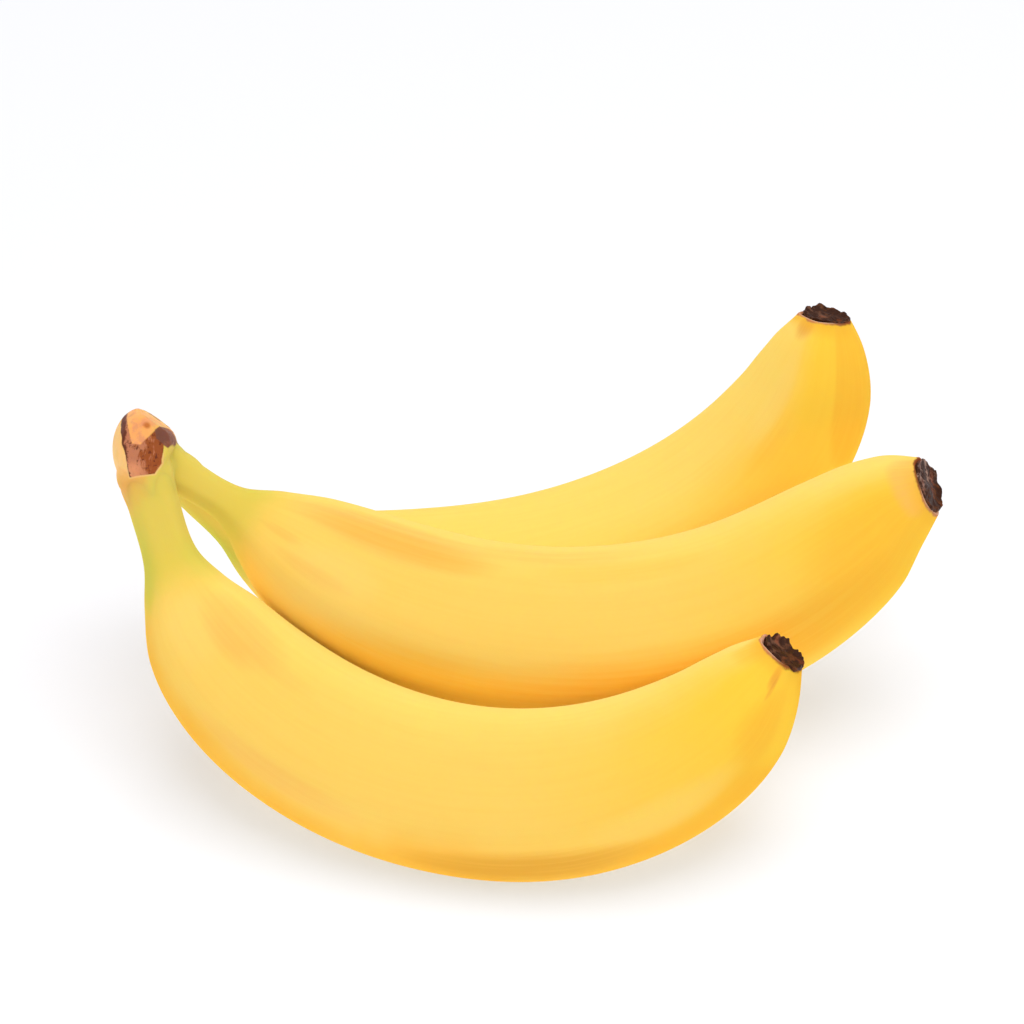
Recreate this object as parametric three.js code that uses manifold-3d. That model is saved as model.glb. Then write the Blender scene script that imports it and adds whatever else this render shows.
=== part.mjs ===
// A hand of three bananas on one crown. Millimetres, +Z up.
// X runs from the crown to the tips, and the fruits lie with their tips curving up. The front and
// back fruits rest on the plane z = 0, and the middle one is held up between them by the crown.

import * as THREE from 'three';
import { mergeVertices } from 'three/addons/utils/BufferGeometryUtils.js';
import Module from 'manifold-3d';

const wasm = await Module();
wasm.setup();

// ---- Driving dimensions: millimetres and degrees ----

const gap = 0.3;             // left between two pieces that touch
const neckLength = 27;       // from the middle of the crown to the shoulder of a fruit
const neckNose = 3.2;        // radius of a neck's blunt start, hidden in the crown
const neckCollar = 8;        // from there to where it leaves the crown
const endTiltLength = 25;    // of a fruit's end, over which it turns to its tilt
const ridgeHeight = 0.03;    // of the five ridges, as a share of a fruit's radius
const ridgeFirst = 36;       // from the inner curve round to the first ridge
const middleAt = [3.74, 12.59];  // X and Y of the middle of the bunch's box, moved to the origin

// root: where the neck starts in the crown. heading: turn of the fruit's plane about Z.
// lean: tilt of that plane, its top away from the front. girth: largest radius of the body.
// collar: radius of the neck where it leaves the crown. neckWidth, neckDepth: half sizes of the
// neck further on, in that plane and across it. shoulder, tail: how much fuller the body is
// there, as a share of its girth. endRadius: where the dry tip starts. endTilt: of the end
// towards the front. turn: of the ridges round the fruit.
// course: how steeply the fruit climbs at each share of its length in courseShares.
const courseShares = [0, 0.10, 0.20, 0.32, 0.48, 0.66, 0.84, 1];
const fruits = {
  front: {
    root: [-86.7, 25.5, 73.4], heading: -10, lean: 37, length: 201.5, girth: 20.1,
    collar: 6.1, neckWidth: 5.8, neckDepth: 6.1, shoulder: 0.03, tail: -0.06,
    endRadius: 5.7, endTilt: 16, turn: 0,
    course: [-65, -66.5, -55.5, -35.5, -14.5, 8.5, 37, 68.5],
  },
  middle: {
    root: [-88, 31.1, 70.8], heading: 1, lean: 33, length: 206.5, girth: 21.4,
    collar: 5.4, neckWidth: 4.5, neckDepth: 4.8, shoulder: -0.04, tail: -0.01,
    endRadius: 6.6, endTilt: 20, turn: 0,
    course: [-38.5, -32, -34.5, -24.5, -8, 10.5, 33.5, 34],
  },
  back: {
    root: [-84.5, 41.9, 60.1], heading: 7, lean: 7, length: 213, girth: 20.5,
    collar: 5.2, neckWidth: 5.0, neckDepth: 6.0, shoulder: -0.03, tail: 0.03,
    endRadius: 6.1, endTilt: 0, turn: 25,
    course: [-53.5, -51, -33, -11, 6, 25.5, 56, 95.5],
  },
};

// Girth of a body at each share of its length from the shoulder on, as a share of its largest.
const bodyShares = [0.05, 0.11, 0.19, 0.30, 0.48, 0.66, 0.80, 0.90, 0.96];
const bodyGirths = [0.47, 0.70, 0.84, 0.92, 0.96, 0.96, 0.88, 0.72, 0.50];
const shoulderParts = [1, 0.7, 0.3, 0, 0, 0, 0, 0, 0];
const tailParts = [0, 0, 0, 0, 0, 0, 0.3, 0.7, 1];

// The dry tip: a short stub with a torn rim round a dished end.
const tipStart = 1.5;        // how far before the end of the course the fruit stops
const tipInset = 0.5;        // of the stub's side from the side of the fruit
const tipHeight = 2.2;       // of the stub, from the fruit to the middle of its rim
const tipTear = 0.5;         // up and down, of the torn rim
const tipWall = 1.3;         // thickness of the rim
const tipDish = 1.1;         // depth of the dished end

// The crown: a short rounded bar from the front neck to the back one, with three cut faces.
const crownFront = [-84.6, 25.9, 71.5];   // middle of the bar where the front neck starts
const crownBack = [-86.9, 41.1, 60.1];    // middle of the bar where the back neck starts
const crownHalfWidth = 7.6;               // across the bar, level
const crownHalfHeight = 10.2;             // across the bar, upward
const crownEndLength = 12;                // of the bar past each of those middles
const crownCuts = {
  scar: { at: [-84.6, 19.1, 76.3], facing: [0.26, -0.78, 0.63] },
  top: { at: [-81.9, 28.8, 77.2], facing: [0.585, 0.476, 0.655] },
  side: { at: [-79, 21.7, 72.5], facing: [0.93, -0.22, -0.3] },
};

// Fineness of the solids.
const sides = 30;
const rings = 48;
const stepsPerRing = 4;
const crownSides = 28;
const crownRings = 18;

const peelYellow = new THREE.MeshStandardMaterial({ color: 0xf8cc4e, roughness: 0.45, metalness: 0 });
const crownTan = new THREE.MeshStandardMaterial({ color: 0xb9713f, roughness: 0.8, metalness: 0 });
const tipBrown = new THREE.MeshStandardMaterial({ color: 0x33201a, roughness: 0.9, metalness: 0 });

// ---- Helpers ----

const radians = THREE.MathUtils.degToRad;

// A smooth curve through the values at the stations, read at x.
function through(stations, values, x) {
  const last = stations.length - 1;
  const slope = (k) => {
    const before = Math.max(k - 1, 0);
    const after = Math.min(k + 1, last);
    return (values[after] - values[before]) / (stations[after] - stations[before]);
  };
  let k = 0;
  while (k < last - 1 && x >= stations[k + 1]) k += 1;
  const span = stations[k + 1] - stations[k];
  const t = (x - stations[k]) / span;
  const start = (2 * t ** 3 - 3 * t ** 2 + 1) * values[k] + (t ** 3 - 2 * t ** 2 + t) * span * slope(k);
  const end = (3 * t ** 2 - 2 * t ** 3) * values[k + 1] + (t ** 3 - t ** 2) * span * slope(k + 1);
  return start + end;
}

function geometryOf(points, triangles) {
  const geometry = new THREE.BufferGeometry();
  const numbers = points.flatMap((point) => point.toArray());
  geometry.setAttribute('position', new THREE.Float32BufferAttribute(numbers, 3));
  geometry.setIndex(triangles);
  return geometry;
}

// Closes a stack of equal rings of points with a point at each end.
function closedStack(stack, startPoint, endPoint) {
  const count = stack[0].length;
  const points = [startPoint, ...stack.flat(), endPoint];
  const triangles = [];
  for (let j = 0; j < count; j += 1) {
    const next = (j + 1) % count;
    const lastRing = 1 + (stack.length - 1) * count;
    triangles.push(0, 1 + next, 1 + j);
    triangles.push(points.length - 1, lastRing + j, lastRing + next);
    for (let i = 0; i < stack.length - 1; i += 1) {
      const here = 1 + i * count;
      const there = here + count;
      triangles.push(here + j, here + next, there + j);
      triangles.push(here + next, there + next, there + j);
    }
  }
  return geometryOf(points, triangles);
}

function solidOf(geometry) {
  const bare = geometry.clone();
  bare.deleteAttribute('normal');
  bare.deleteAttribute('uv');
  const merged = mergeVertices(bare, 1e-4);
  const mesh = new wasm.Mesh({
    numProp: 3,
    vertProperties: new Float32Array(merged.attributes.position.array),
    triVerts: new Uint32Array(merged.index.array),
  });
  return new wasm.Manifold(mesh);
}

function largestBody(solid) {
  return solid.decompose().reduce((best, body) => (body.volume() > best.volume() ? body : best));
}

function meshOf(name, solid, material) {
  const result = solid.getMesh();
  const geometry = new THREE.BufferGeometry();
  const numbers = new Float32Array(result.vertProperties);
  geometry.setAttribute('position', new THREE.BufferAttribute(numbers, 3));
  geometry.setIndex(new THREE.BufferAttribute(new Uint32Array(result.triVerts), 1));
  geometry.computeVertexNormals();
  const mesh = new THREE.Mesh(geometry, material);
  mesh.name = name;
  return mesh;
}

// ---- Fruits ----

// The line through the middle of a fruit, with its directions at each ring.
function courseOf(fruit) {
  const heading = radians(fruit.heading);
  const lean = radians(fruit.lean);
  const ahead = new THREE.Vector3(Math.cos(heading), Math.sin(heading), 0);
  const above = new THREE.Vector3(-Math.sin(heading), Math.cos(heading), 0)
    .multiplyScalar(Math.sin(lean))
    .add(new THREE.Vector3(0, 0, Math.cos(lean)));
  const side = new THREE.Vector3().crossVectors(ahead, above);
  const directionAt = (share) => {
    const climb = radians(through(courseShares, fruit.course, share));
    return ahead.clone().multiplyScalar(Math.cos(climb)).addScaledVector(above, Math.sin(climb));
  };
  const steps = rings * stepsPerRing;
  const stretch = fruit.length - tipStart;
  const at = new THREE.Vector3(...fruit.root);
  const stations = [];
  for (let i = 0; i <= steps; i += 1) {
    const share = (i / steps) * (stretch / fruit.length);
    const along = directionAt(share);
    if (i % stepsPerRing === 0) {
      const inner = new THREE.Vector3().crossVectors(side, along);
      stations.push({ share, at: at.clone(), along, inner, side });
    }
    const halfway = share + 0.5 * stretch / steps / fruit.length;
    at.addScaledVector(directionAt(halfway), stretch / steps);
  }
  return stations;
}

// How far a point falls back along a fruit for each millimetre that it stands to the front.
function tiltAt(fruit, share) {
  const tiltedFrom = fruit.length - endTiltLength;
  const turned = THREE.MathUtils.smoothstep(share * fruit.length, tiltedFrom, fruit.length - tipStart);
  return Math.tan(radians(fruit.endTilt)) * turned;
}

// Half sizes of a fruit in its plane and across it.
function halfSizes(fruit, share) {
  const shoulder = neckLength / fruit.length;
  const neck = [0, neckCollar / fruit.length, 0.55 * shoulder, shoulder];
  const body = bodyShares.map((f) => shoulder + (1 - shoulder) * f);
  const neckSizes = [neckNose, fruit.collar, fruit.neckWidth, 1.08 * fruit.neckWidth];
  const bodySizes = bodyGirths.map((g, k) => (
    g * fruit.girth * (1 + fruit.shoulder * shoulderParts[k]) * (1 + fruit.tail * tailParts[k])
  ));
  const inPlane = through([...neck, ...body, 1], [...neckSizes, ...bodySizes, fruit.endRadius], share);
  const neckPart = THREE.MathUtils.smoothstep(share, 0, neck[1])
    - THREE.MathUtils.smoothstep(share, shoulder, shoulder + 0.15);
  return [inPlane, inPlane + (fruit.neckDepth - fruit.neckWidth) * neckPart];
}

// A ring across a fruit, where sizeAt gives the half sizes and the lift for each angle.
function ringOf(fruit, station, sizeAt) {
  const ring = [];
  for (let j = 0; j < sides; j += 1) {
    const angle = (j / sides) * 2 * Math.PI;
    const [inPlane, across, lift] = sizeAt(angle);
    const toFront = across * Math.sin(angle);
    ring.push(station.at.clone()
      .addScaledVector(station.inner, inPlane * Math.cos(angle))
      .addScaledVector(station.side, toFront)
      .addScaledVector(station.along, lift - tiltAt(fruit, station.share) * toFront));
  }
  return ring;
}

function fruitSolid(fruit, grow) {
  const stations = courseOf(fruit);
  const stack = stations.map((station) => {
    const [inPlane, across] = halfSizes(fruit, station.share);
    return ringOf(fruit, station, (angle) => {
      const ridge = 1 + ridgeHeight * Math.cos(5 * (angle - radians(ridgeFirst + fruit.turn)));
      return [inPlane * ridge + grow, across * ridge + grow, 0];
    });
  });
  return solidOf(closedStack(stack, stations[0].at, stations.at(-1).at));
}

// ---- Dry tips ----

function tipSolid(fruit) {
  const end = courseOf(fruit).at(-1);
  const radius = fruit.endRadius - tipInset;
  const ringAt = (inset, height, tear) => ringOf(fruit, end, (angle) => {
    const lift = height + tear * (Math.sin(3 * angle) + 0.6 * Math.sin(7 * angle + 1));
    return [radius - inset, radius - inset, lift];
  });
  const stack = [
    ringAt(0, gap, 0),
    ringAt(0.3, 0.5 * tipHeight, 0),
    ringAt(0.1, tipHeight, tipTear),
    ringAt(tipWall, tipHeight - 0.2, tipTear),
  ];
  const startPoint = end.at.clone().addScaledVector(end.along, gap);
  const endPoint = end.at.clone().addScaledVector(end.along, tipHeight - tipDish);
  return solidOf(closedStack(stack, startPoint, endPoint));
}

// ---- Crown ----

function crownBar(grow) {
  const front = new THREE.Vector3(...crownFront);
  const back = new THREE.Vector3(...crownBack);
  const middle = front.clone().lerp(back, 0.5);
  const halfLength = front.distanceTo(back) / 2 + crownEndLength + grow;
  const along = back.sub(front).normalize();
  const level = new THREE.Vector3(0, 0, 1).cross(along).normalize();
  const upward = new THREE.Vector3().crossVectors(along, level);
  const stack = [];
  for (let i = 1; i < crownRings; i += 1) {
    const place = -Math.cos((i / crownRings) * Math.PI);
    const fullness = (1 - Math.abs(place) ** 3) ** (1 / 2.4);
    const ring = [];
    for (let j = 0; j < crownSides; j += 1) {
      const angle = (j / crownSides) * 2 * Math.PI;
      ring.push(middle.clone()
        .addScaledVector(along, place * halfLength)
        .addScaledVector(level, (crownHalfWidth + grow) * fullness * Math.cos(angle))
        .addScaledVector(upward, (crownHalfHeight + grow) * fullness * Math.sin(angle)));
    }
    stack.push(ring);
  }
  const startPoint = middle.clone().addScaledVector(along, -halfLength);
  const endPoint = middle.clone().addScaledVector(along, halfLength);
  return solidOf(closedStack(stack, startPoint, endPoint));
}

// Everything on the outer side of a cut face.
function beyond({ at, facing }, grow) {
  const block = 60;
  const normal = new THREE.Vector3(...facing).normalize();
  const geometry = new THREE.BoxGeometry(block, block, block);
  geometry.translate(0, 0, block / 2 + grow);
  const turn = new THREE.Quaternion().setFromUnitVectors(new THREE.Vector3(0, 0, 1), normal);
  geometry.applyQuaternion(turn);
  geometry.translate(...at);
  return solidOf(geometry);
}

function crownSolid(grow) {
  return Object.values(crownCuts).reduce((bar, cut) => bar.subtract(beyond(cut, grow)), crownBar(grow));
}

// ---- Assembly ----

const underground = solidOf(new THREE.BoxGeometry(400, 400, 40).translate(0, 0, -20));

// Each fruit keeps clear of the crown and of the neck before it.
const bunch = new THREE.Group();
bunch.add(meshOf('crown', crownSolid(0), crownTan));
let before = crownSolid(gap);
for (const [name, fruit] of Object.entries(fruits)) {
  const body = fruitSolid(fruit, 0).subtract(before).subtract(underground);
  bunch.add(meshOf(`finger_${name}`, largestBody(body), peelYellow));
  bunch.add(meshOf(`tip_${name}`, tipSolid(fruit), tipBrown));
  before = before.add(fruitSolid(fruit, gap));
}
bunch.position.set(-middleAt[0], -middleAt[1], 0);

export default bunch;
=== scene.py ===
import bpy
import math
import random
import numpy as np
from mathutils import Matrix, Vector
from mathutils import noise as lumps


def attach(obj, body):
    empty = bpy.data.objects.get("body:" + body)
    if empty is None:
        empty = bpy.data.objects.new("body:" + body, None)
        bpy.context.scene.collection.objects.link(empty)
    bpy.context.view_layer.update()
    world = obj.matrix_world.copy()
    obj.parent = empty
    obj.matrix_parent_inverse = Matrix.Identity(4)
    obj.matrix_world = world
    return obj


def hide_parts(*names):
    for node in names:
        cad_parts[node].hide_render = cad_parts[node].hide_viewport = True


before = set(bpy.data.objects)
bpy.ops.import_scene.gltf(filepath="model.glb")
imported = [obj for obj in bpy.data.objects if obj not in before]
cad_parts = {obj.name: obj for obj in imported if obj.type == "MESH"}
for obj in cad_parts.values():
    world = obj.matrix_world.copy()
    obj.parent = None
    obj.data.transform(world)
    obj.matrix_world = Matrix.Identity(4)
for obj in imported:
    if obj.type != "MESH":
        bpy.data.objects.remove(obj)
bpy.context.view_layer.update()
print("frame loaded")

mm = 0.001      # a millimetre in Blender's metres

# How the fruits grow, in millimetres and degrees, as in the solids.
growth = {
    "middleAt": (3.74, 12.59, 0),   # middle of the bunch, moved to the origin
    "neckLength": 27,               # crown to shoulder
    "neckNose": 3.2,                # blunt start of a neck, hidden in the crown
    "neckCollar": 8,                # from there to where it leaves the crown
    "tipStart": 1.5,                # before the end of a fruit, where its skin stops
    "endTiltLength": 25,            # over which an end turns to its tilt
    "gatherLength": 10,             # over which a fruit narrows to its end
    "ridgeHeight": 0.03,            # share of the radius
    "ridgeFirst": 36,               # round from the inner curve
    "courseShares": [0, 0.10, 0.20, 0.32, 0.48, 0.66, 0.84, 1],
    "bodyShares": [0.05, 0.11, 0.19, 0.30, 0.48, 0.66, 0.80, 0.90, 0.96],
    "bodyGirths": [0.47, 0.70, 0.84, 0.92, 0.96, 0.96, 0.88, 0.72, 0.50],
    # how much of its fuller shoulder and tail a fruit has at each of bodyShares
    "shoulderParts": [1, 0.7, 0.3, 0, 0, 0, 0, 0, 0],
    "tailParts": [0, 0, 0, 0, 0, 0, 0.3, 0.7, 1],
}

# Root: where a fruit's neck starts in the crown. Heading, lean: turn of its plane and tilt of its
# top away from the front. Collar, neckWidth, neckDepth: half sizes of its neck. Shoulder, tail:
# how much fuller it is there. Turn: of its ridges. Course: its climb at each of courseShares.
# Its end faces a little more to the front and the outside than the plain one does, and gathers in.
# Gather: how much narrower, how far to the outside and how far up.
# Belly: strength of the orange painted below as shade. TornAt: degrees round to the paler side of its
# torn skin.
# Patches: colour, share along, degrees round from the inner curve to the front, half length as
# a share, half width in degrees, softness, strength.
# Pale patches are painted light; warm, shade and fold-line patches, and the orange at the bellies, are
# painted shade.
fruits = {
    "front": {
        "root": (-86.7, 25.5, 73.4), "heading": -10, "lean": 37, "length": 201.5, "girth": 20.1,
        "collar": 6.1, "neckWidth": 5.8, "neckDepth": 6.1, "shoulder": 0.03, "tail": -0.06,
        "endRadius": 5.7, "endTilt": 16, "endTurn": 10, "turn": 0, "gather": (0.9, 0.5, 0.1),
        "course": [-65, -66.5, -55.5, -35.5, -14.5, 8.5, 37, 68.5],
        "belly": 0.9,
        "tornAt": 30,
        "neckFlare": 0.8,
        "neckPeach": 1, "neckGreen": 0.7,
        "stub": {"inset": 0.7, "aside": 0.8, "height": 0.9, "tear": 0.5, "dust": 0.12},
        "patches": [
            ("pale", 0.215, 88, 0.07, 34, 1.0, 0.6),
            ("peach", 0.262, 54, 0.09, 26, 1.0, 0.5),
            ("smudge", 0.262, 70, 0.06, 13, 1.0, 0.16),
            ("smudge", 0.33, 58, 0.07, 9, 1.0, 0.14),
            ("peach", 0.40, 124, 0.12, 16, 1.0, 0.55),
            ("green", 0.156, 140, 0.04, 26, 1.0, 0.5),
            ("amber", 0.985, 40, 0.03, 30, 1.0, 0.55),
            ("deep", 0.94, 154, 0.06, 34, 1.0, 0.8),
            ("pale", 0.80, 128, 0.10, 22, 1.0, 0.4),
            ("amber", 0.93, 126, 0.06, 30, 1.0, 0.6),
            ("creaseShade", 0.982, 106, 0.018, 9, 1.0, 0.55),
            ("creaseShade", 0.971, 110, 0.018, 4, 1.0, 0.4),
            ("shade", 0.655, 151, 0.14, 26, 1.0, 0.9),
        ],
    },
    "middle": {
        "root": (-88, 31.1, 70.8), "heading": 1, "lean": 33, "length": 206.5, "girth": 21.4,
        "collar": 5.4, "neckWidth": 4.5, "neckDepth": 4.8, "shoulder": -0.04, "tail": -0.01,
        "endRadius": 6.6, "endTilt": 22, "endTurn": 12, "turn": 0, "gather": (0.7, 0.8, 0.1),
        "course": [-38.5, -32, -34.5, -24.5, -8, 10.5, 33.5, 34],
        "belly": 0.35,
        "tornAt": 150,
        "neckFlare": 0,
        "neckPeach": 0, "neckGreen": 0.35,
        "stub": {"inset": 0.4, "aside": 0.2, "height": 1.0, "tear": 0.3, "dust": 0.8},
        "patches": [
            ("peach", 0.31, 42, 0.17, 22, 1.0, 0.9),
            ("amber", 0.33, 47, 0.14, 14, 1.0, 0.35),
            ("pale", 0.27, 86, 0.07, 24, 1.0, 0.6),
            ("smudge", 0.195, 80, 0.035, 7, 1.0, 0.25),
            ("smudge", 0.25, 96, 0.06, 9, 1.0, 0.20),
            ("peach", 0.52, 30, 0.16, 14, 1.0, 0.35),
            ("amber", 0.62, 46, 0.14, 9, 1.0, 0.22),
            ("pale", 0.29, 135, 0.10, 44, 1.0, 0.6),
            # painted shade between the middle and the front fruit
            ("warm", 0.40, 142, 0.17, 40, 1.0, 0.9),
            # painted shade: the belly's orange carried along the middle fruit's underside
            ("orange", 0.70, 128, 0.28, 38, 1.0, 0.75),
            ("pale", 0.92, 34, 0.06, 20, 1.0, 0.3),
            ("amber", 0.92, 108, 0.14, 70, 1.0, 0.65),
            ("peach", 0.99, 60, 0.03, 70, 0.7, 0.8),
        ],
    },
    "back": {
        "root": (-84.5, 41.9, 60.1), "heading": 7, "lean": 7, "length": 213, "girth": 20.5,
        "collar": 5.2, "neckWidth": 5.0, "neckDepth": 6.0, "shoulder": -0.03, "tail": 0.03,
        "endRadius": 6.1, "endTilt": -9, "endTurn": 13, "turn": 25, "gather": (0.9, 0.4, 0.5),
        "course": [-53.5, -51, -33, -11, 6, 25.5, 56, 95.5],
        "belly": 0.7,
        "tornAt": 45,
        "neckFlare": 0,
        "neckPeach": 0, "neckGreen": 1,
        "stub": {"inset": 0.6, "aside": 0.4, "height": 0.8, "tear": 0.45, "dust": 0.12},
        "patches": [
            ("litLemon", 0.47, 0, 0.26, 44, 1.0, 0.6),
            # painted light and painted shade on the two facets either side of a ridge near the tip
            ("pale", 0.90, 44, 0.09, 14, 1.0, 0.5),
            ("amber", 0.95, 122, 0.10, 30, 0.35, 0.55),
            ("amber", 0.85, 60, 0.07, 9, 1.0, 0.25),
            ("creaseShade", 0.992, 36, 0.026, 24, 1.0, 0.65),
        ],
    },
}


def through(stations, values, x):
    # a smooth curve through the values at the stations, read at every x
    stations, values = np.asarray(stations, float), np.asarray(values, float)
    slope = np.empty_like(values)
    slope[1:-1] = (values[2:] - values[:-2]) / (stations[2:] - stations[:-2])
    slope[0] = (values[1] - values[0]) / (stations[1] - stations[0])
    slope[-1] = (values[-1] - values[-2]) / (stations[-1] - stations[-2])
    k = np.clip(np.searchsorted(stations, x, side="right") - 1, 0, len(stations) - 2)
    span = stations[k + 1] - stations[k]
    t = (x - stations[k]) / span
    start = (2 * t**3 - 3 * t**2 + 1) * values[k] + (t**3 - 2 * t**2 + t) * span * slope[k]
    end = (3 * t**2 - 2 * t**3) * values[k + 1] + (t**3 - t**2) * span * slope[k + 1]
    return start + end


def smoothStep(x, low, high):
    t = np.clip((x - low) / (high - low), 0, 1)
    return t * t * (3 - 2 * t)


def gathered(fruit, shares):
    # how far a fruit has narrowed to its end, 0 to 1
    length = fruit["length"]
    return smoothStep(shares * length, length - growth["gatherLength"], length - growth["tipStart"])


def courseOf(fruit, shares):
    # where the middle of a fruit runs, with its directions, at even shares of its length
    heading, lean = math.radians(fruit["heading"]), math.radians(fruit["lean"])
    ahead = np.array([math.cos(heading), math.sin(heading), 0])
    above = np.array([-math.sin(heading), math.cos(heading), 0]) * math.sin(lean)
    above[2] = math.cos(lean)
    side = np.cross(ahead, above)

    def direction(x):
        climb = np.radians(through(growth["courseShares"], fruit["course"], x))[:, None]
        return np.cos(climb) * ahead + np.sin(climb) * above

    step = (shares[-1] - shares[0]) / (len(shares) - 1)
    halfway = direction(shares[:-1] + step / 2) * step * fruit["length"]
    root = np.array(fruit["root"], float) - np.array(growth["middleAt"])
    at = np.vstack([root, root + np.cumsum(halfway, axis=0)])
    along = direction(shares)
    inner = np.cross(side, along)
    outward, upward = fruit["gather"][1:]
    at = at + (along * upward - inner * outward) * gathered(fruit, shares)[:, None]
    return at, along, inner, side


def halfSizes(fruit, shares):
    # half sizes in the plane of the fruit and across it
    length = fruit["length"]
    shoulder = growth["neckLength"] / length
    collar = growth["neckCollar"] / length
    stations = [0, collar, 0.55 * shoulder, shoulder]
    stations += [shoulder + (1 - shoulder) * share for share in growth["bodyShares"]] + [1]
    fuller = 1 + fruit["shoulder"] * np.array(growth["shoulderParts"])
    fuller = fuller * (1 + fruit["tail"] * np.array(growth["tailParts"]))
    sizes = [growth["neckNose"], fruit["collar"], fruit["neckWidth"], 1.08 * fruit["neckWidth"]]
    sizes += list(fruit["girth"] * np.array(growth["bodyGirths"]) * fuller) + [fruit["endRadius"]]
    inPlane = through(stations, sizes, shares) - fruit["gather"][0] * gathered(fruit, shares)
    neckPart = smoothStep(shares, 0, collar) - smoothStep(shares, shoulder, shoulder + 0.15)
    return inPlane, inPlane + (fruit["neckDepth"] - fruit["neckWidth"]) * neckPart


def endLift(fruit, shares):
    # how far a point of a ring moves along the fruit where the end faces the front and the outside
    length = fruit["length"]
    start, end = length - growth["endTiltLength"], length - growth["tipStart"]
    turned = smoothStep(shares * length, start, end)
    toFront = math.tan(math.radians(fruit["endTilt"])) * turned[:, None]
    toOutside = math.tan(math.radians(fruit["endTurn"])) * turned[:, None]
    return lambda front, inner: toOutside * inner - toFront * front


def ringsOf(course, inPlane, across, angles, lift):
    # one ring of points for each place on the course, in millimetres
    at, along, inner, side = course
    toFront = across * np.sin(angles)
    toInner = inPlane * np.cos(angles)
    rings = at[:, None] + inner[:, None] * toInner[..., None]
    return rings + side * toFront[..., None] + along[:, None] * lift(toFront, toInner)[..., None]


def stackMesh(name, rings, closeStart, closeEnd):
    # skin over a stack of equal rings, closed by a fan at each end
    stack, count = len(rings), len(rings[0])
    points = np.vstack([np.array(rings).reshape(-1, 3), [closeStart], [closeEnd]]) * mm
    j = np.arange(count)
    following = (j + 1) % count
    faces = []
    for i in range(stack - 1):
        low, high = i * count, (i + 1) * count
        faces += np.stack([low + j, low + following, high + following, high + j], axis=1).tolist()
    first, last = stack * count, stack * count + 1
    top = (stack - 1) * count
    faces += np.stack([np.full(count, first), following, j], axis=1).tolist()
    faces += np.stack([np.full(count, last), top + j, top + following], axis=1).tolist()
    mesh = bpy.data.meshes.new(name)
    mesh.from_pydata(points.tolist(), [], faces)
    mesh.polygons.foreach_set("use_smooth", [True] * len(mesh.polygons))
    mesh.update()
    return mesh


def addPiece(name, mesh, material, node):
    piece = bpy.data.objects.new(name, mesh)
    bpy.context.scene.collection.objects.link(piece)
    piece.data.materials.append(material)
    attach(piece, "root")
    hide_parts(node)
    return piece


def storeVector(mesh, name, values):
    mesh.attributes.new(name, "FLOAT_VECTOR", "POINT").data.foreach_set("vector", np.ravel(values))


def storeValue(mesh, name, values):
    mesh.attributes.new(name, "FLOAT", "POINT").data.foreach_set("value", np.ravel(values))


def put(tree, kind, inputs=None, **settings):
    # a shader node with its settings, where an input is a number or another node's output
    node = tree.nodes.new("ShaderNode" + kind)
    for key, value in settings.items():
        setattr(node, key, value)
    for key, value in (inputs or {}).items():
        if isinstance(value, bpy.types.NodeSocket):
            tree.links.new(value, node.inputs[key])
        else:
            node.inputs[key].default_value = value
    return node


def calc(tree, operation, first, second=0.0):
    return put(tree, "Math", {0: first, 1: second}, operation=operation).outputs[0]


def fade(tree, value, low, high, toLow=0.0, toHigh=1.0):
    inputs = {"Value": value, "From Min": low, "From Max": high, "To Min": toLow, "To Max": toHigh}
    return put(tree, "MapRange", inputs, interpolation_type="SMOOTHSTEP").outputs[0]


def blend(tree, factor, first, second):
    return put(tree, "Mix", {0: factor, 6: first, 7: second}, data_type="RGBA").outputs[2]


def noise(tree, place, scale, detail=3.0, roughness=0.5):
    inputs = {"Vector": place, "Scale": scale, "Detail": detail, "Roughness": roughness}
    return put(tree, "TexNoise", inputs).outputs[0]


def shifted(tree, value, wander, amount):
    # a value that wanders up and down with a noise
    return calc(tree, "ADD", value, calc(tree, "MULTIPLY", calc(tree, "SUBTRACT", wander, 0.5), amount))


def distanceAlong(tree, place, direction, origin=(0, 0, 0)):
    # how far a place lies in a direction, in millimetres
    start = tuple(mm * part for part in origin)
    away = put(tree, "VectorMath", {0: place, 1: start}, operation="SUBTRACT")
    scaled = tuple(part / mm for part in direction)
    return put(tree, "VectorMath", {0: away.outputs[0], 1: scaled}, operation="DOT_PRODUCT").outputs[1]


def tone(red, green, blue):
    # a colour picked on screen, where 255 is full, as the shader wants it
    def part(value):
        value /= 255
        return value / 12.92 if value <= 0.04045 else ((value + 0.055) / 1.055) ** 2.4
    return (part(red), part(green), part(blue), 1.0)


def newGroup(name, inputs, outputs):
    group = bpy.data.node_groups.new(name, "ShaderNodeTree")
    for label, kind in inputs:
        group.interface.new_socket(name=label, in_out="INPUT", socket_type="NodeSocket" + kind)
    for label, kind in outputs:
        group.interface.new_socket(name=label, in_out="OUTPUT", socket_type="NodeSocket" + kind)
    return group, group.nodes.new("NodeGroupInput").outputs, group.nodes.new("NodeGroupOutput").inputs


def useGroup(tree, group, inputs):
    node = tree.nodes.new("ShaderNodeGroup")
    node.node_tree = group
    for key, value in inputs.items():
        if isinstance(value, bpy.types.NodeSocket):
            tree.links.new(value, node.inputs[key])
        else:
            node.inputs[key].default_value = value
    return node.outputs


def newMaterial(name):
    material = bpy.data.materials.new(name)
    material.use_nodes = True
    material.node_tree.nodes.clear()
    return material, material.node_tree


def finishMaterial(tree, inputs):
    shader = put(tree, "BsdfPrincipled", inputs)
    output = tree.nodes.new("ShaderNodeOutputMaterial")
    tree.links.new(shader.outputs[0], output.inputs[0])


# Skin of the necks, shared by the fruits and by the stalk that the necks grow out of.
neckSkin = {
    "straw": tone(225, 201, 91),
    "gold": tone(226, 201, 86),         # at the shoulder
    "green": tone(203, 197, 80),        # outer side of the shoulder
    "peach": tone(236, 172, 88),        # beside the crown
}


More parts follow.
